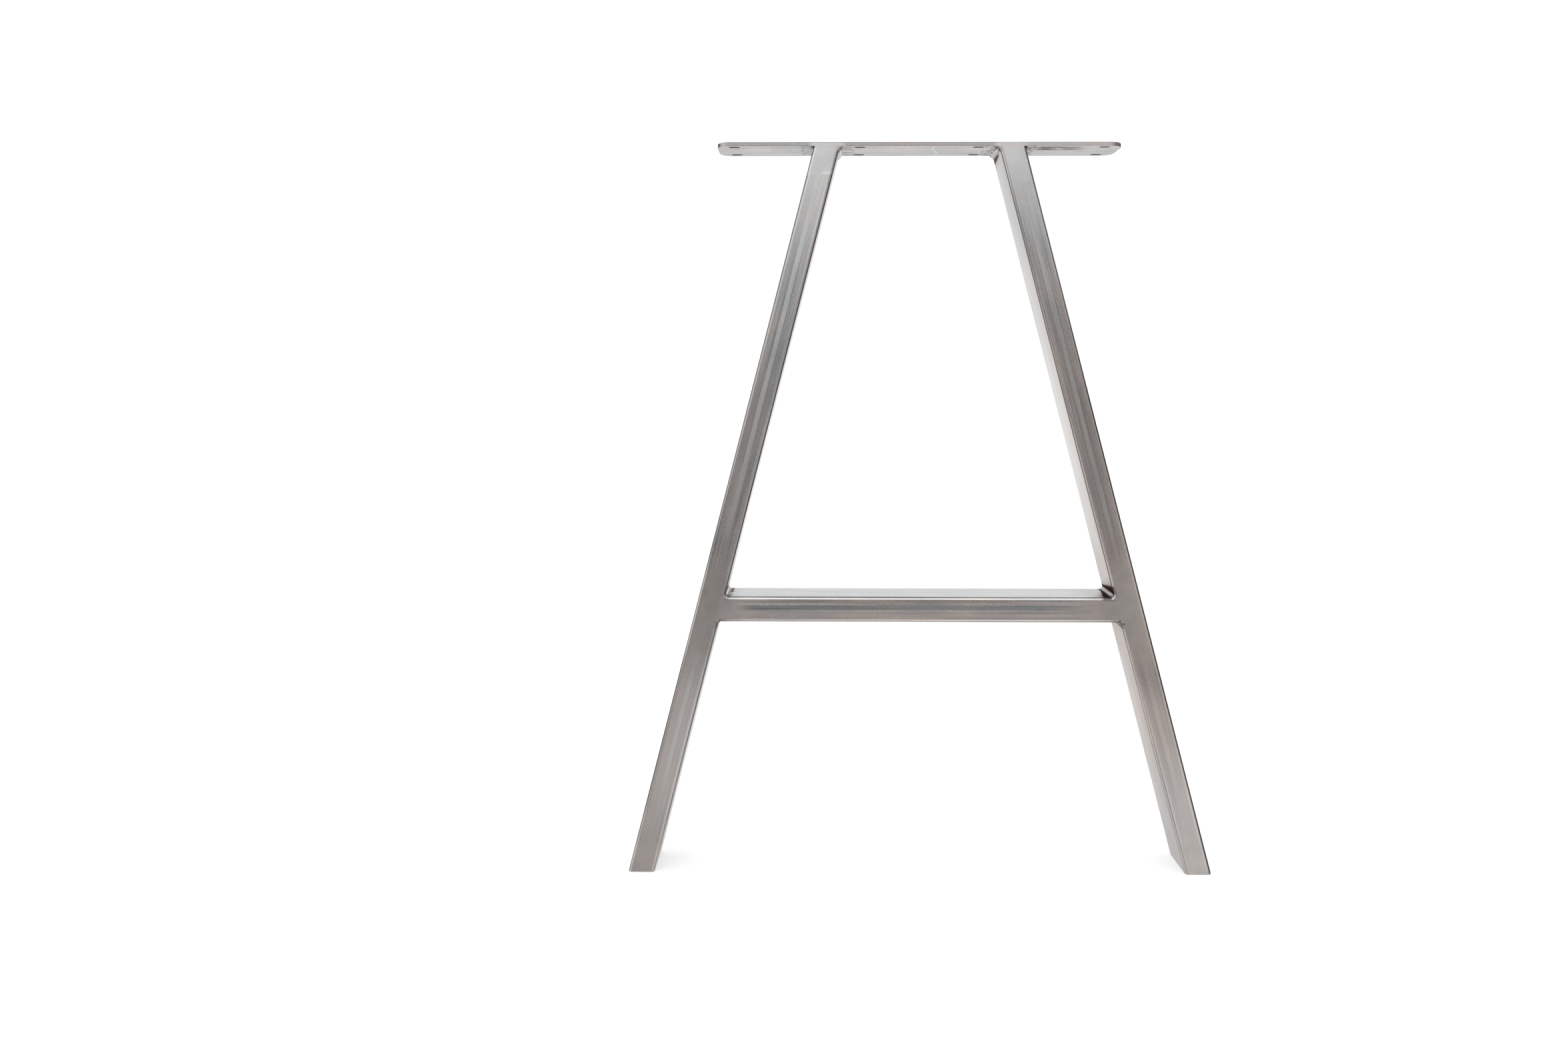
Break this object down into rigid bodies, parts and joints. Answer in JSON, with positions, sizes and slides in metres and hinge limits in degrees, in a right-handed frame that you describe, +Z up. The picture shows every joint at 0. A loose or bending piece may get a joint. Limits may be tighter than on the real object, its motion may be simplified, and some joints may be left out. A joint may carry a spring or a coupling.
{
  "type": "a-frame table leg",
  "caption": "Welded A-shaped table leg of rectangular steel tube with a crossbar, closed feet and a flat mounting plate with slotted screw holes along both edges.",
  "frame": {"origin": "on the floor, midway between the two feet and midway through the frame's depth", "axes": "+Z up from the floor to the mounting plate, +X to the right along the crossbar, -Y towards the front face"},
  "size_m": [0.573, 0.05, 0.72],
  "materials": {
    "tube_steel": "bare mill-finish steel tube, brushed lengthwise and clear coated, satin",
    "plate_steel": "bare steel flat bar, brushed lengthwise and clear coated, satin",
    "weld_bead": "as-welded rippled bead, wire brushed, with brown and blue heat tint beside it",
    "ground_weld": "weld ground flush and blended into the tube face, fine grinding marks"
  },
  "bodies": {
    "root": {"top_plate": "plate_steel", "left_leg_tube": "tube_steel", "right_leg_tube": "tube_steel", "crossbar_tube": "tube_steel", "left_foot_cap": "plate_steel", "right_foot_cap": "plate_steel", "left_top_inner_weld": "weld_bead", "left_top_outer_weld": "weld_bead", "left_top_front_weld": "ground_weld", "left_top_back_weld": "ground_weld", "right_top_inner_weld": "weld_bead", "right_top_outer_weld": "weld_bead", "right_top_front_weld": "ground_weld", "right_top_back_weld": "ground_weld", "left_crossbar_upper_weld": "weld_bead", "left_crossbar_lower_weld": "weld_bead", "left_crossbar_front_weld": "ground_weld", "left_crossbar_back_weld": "ground_weld", "right_crossbar_upper_weld": "weld_bead", "right_crossbar_lower_weld": "weld_bead", "right_crossbar_front_weld": "ground_weld", "right_crossbar_back_weld": "ground_weld", "left_foot_weld": "ground_weld", "right_foot_weld": "ground_weld"}
  },
  "joints": []
}
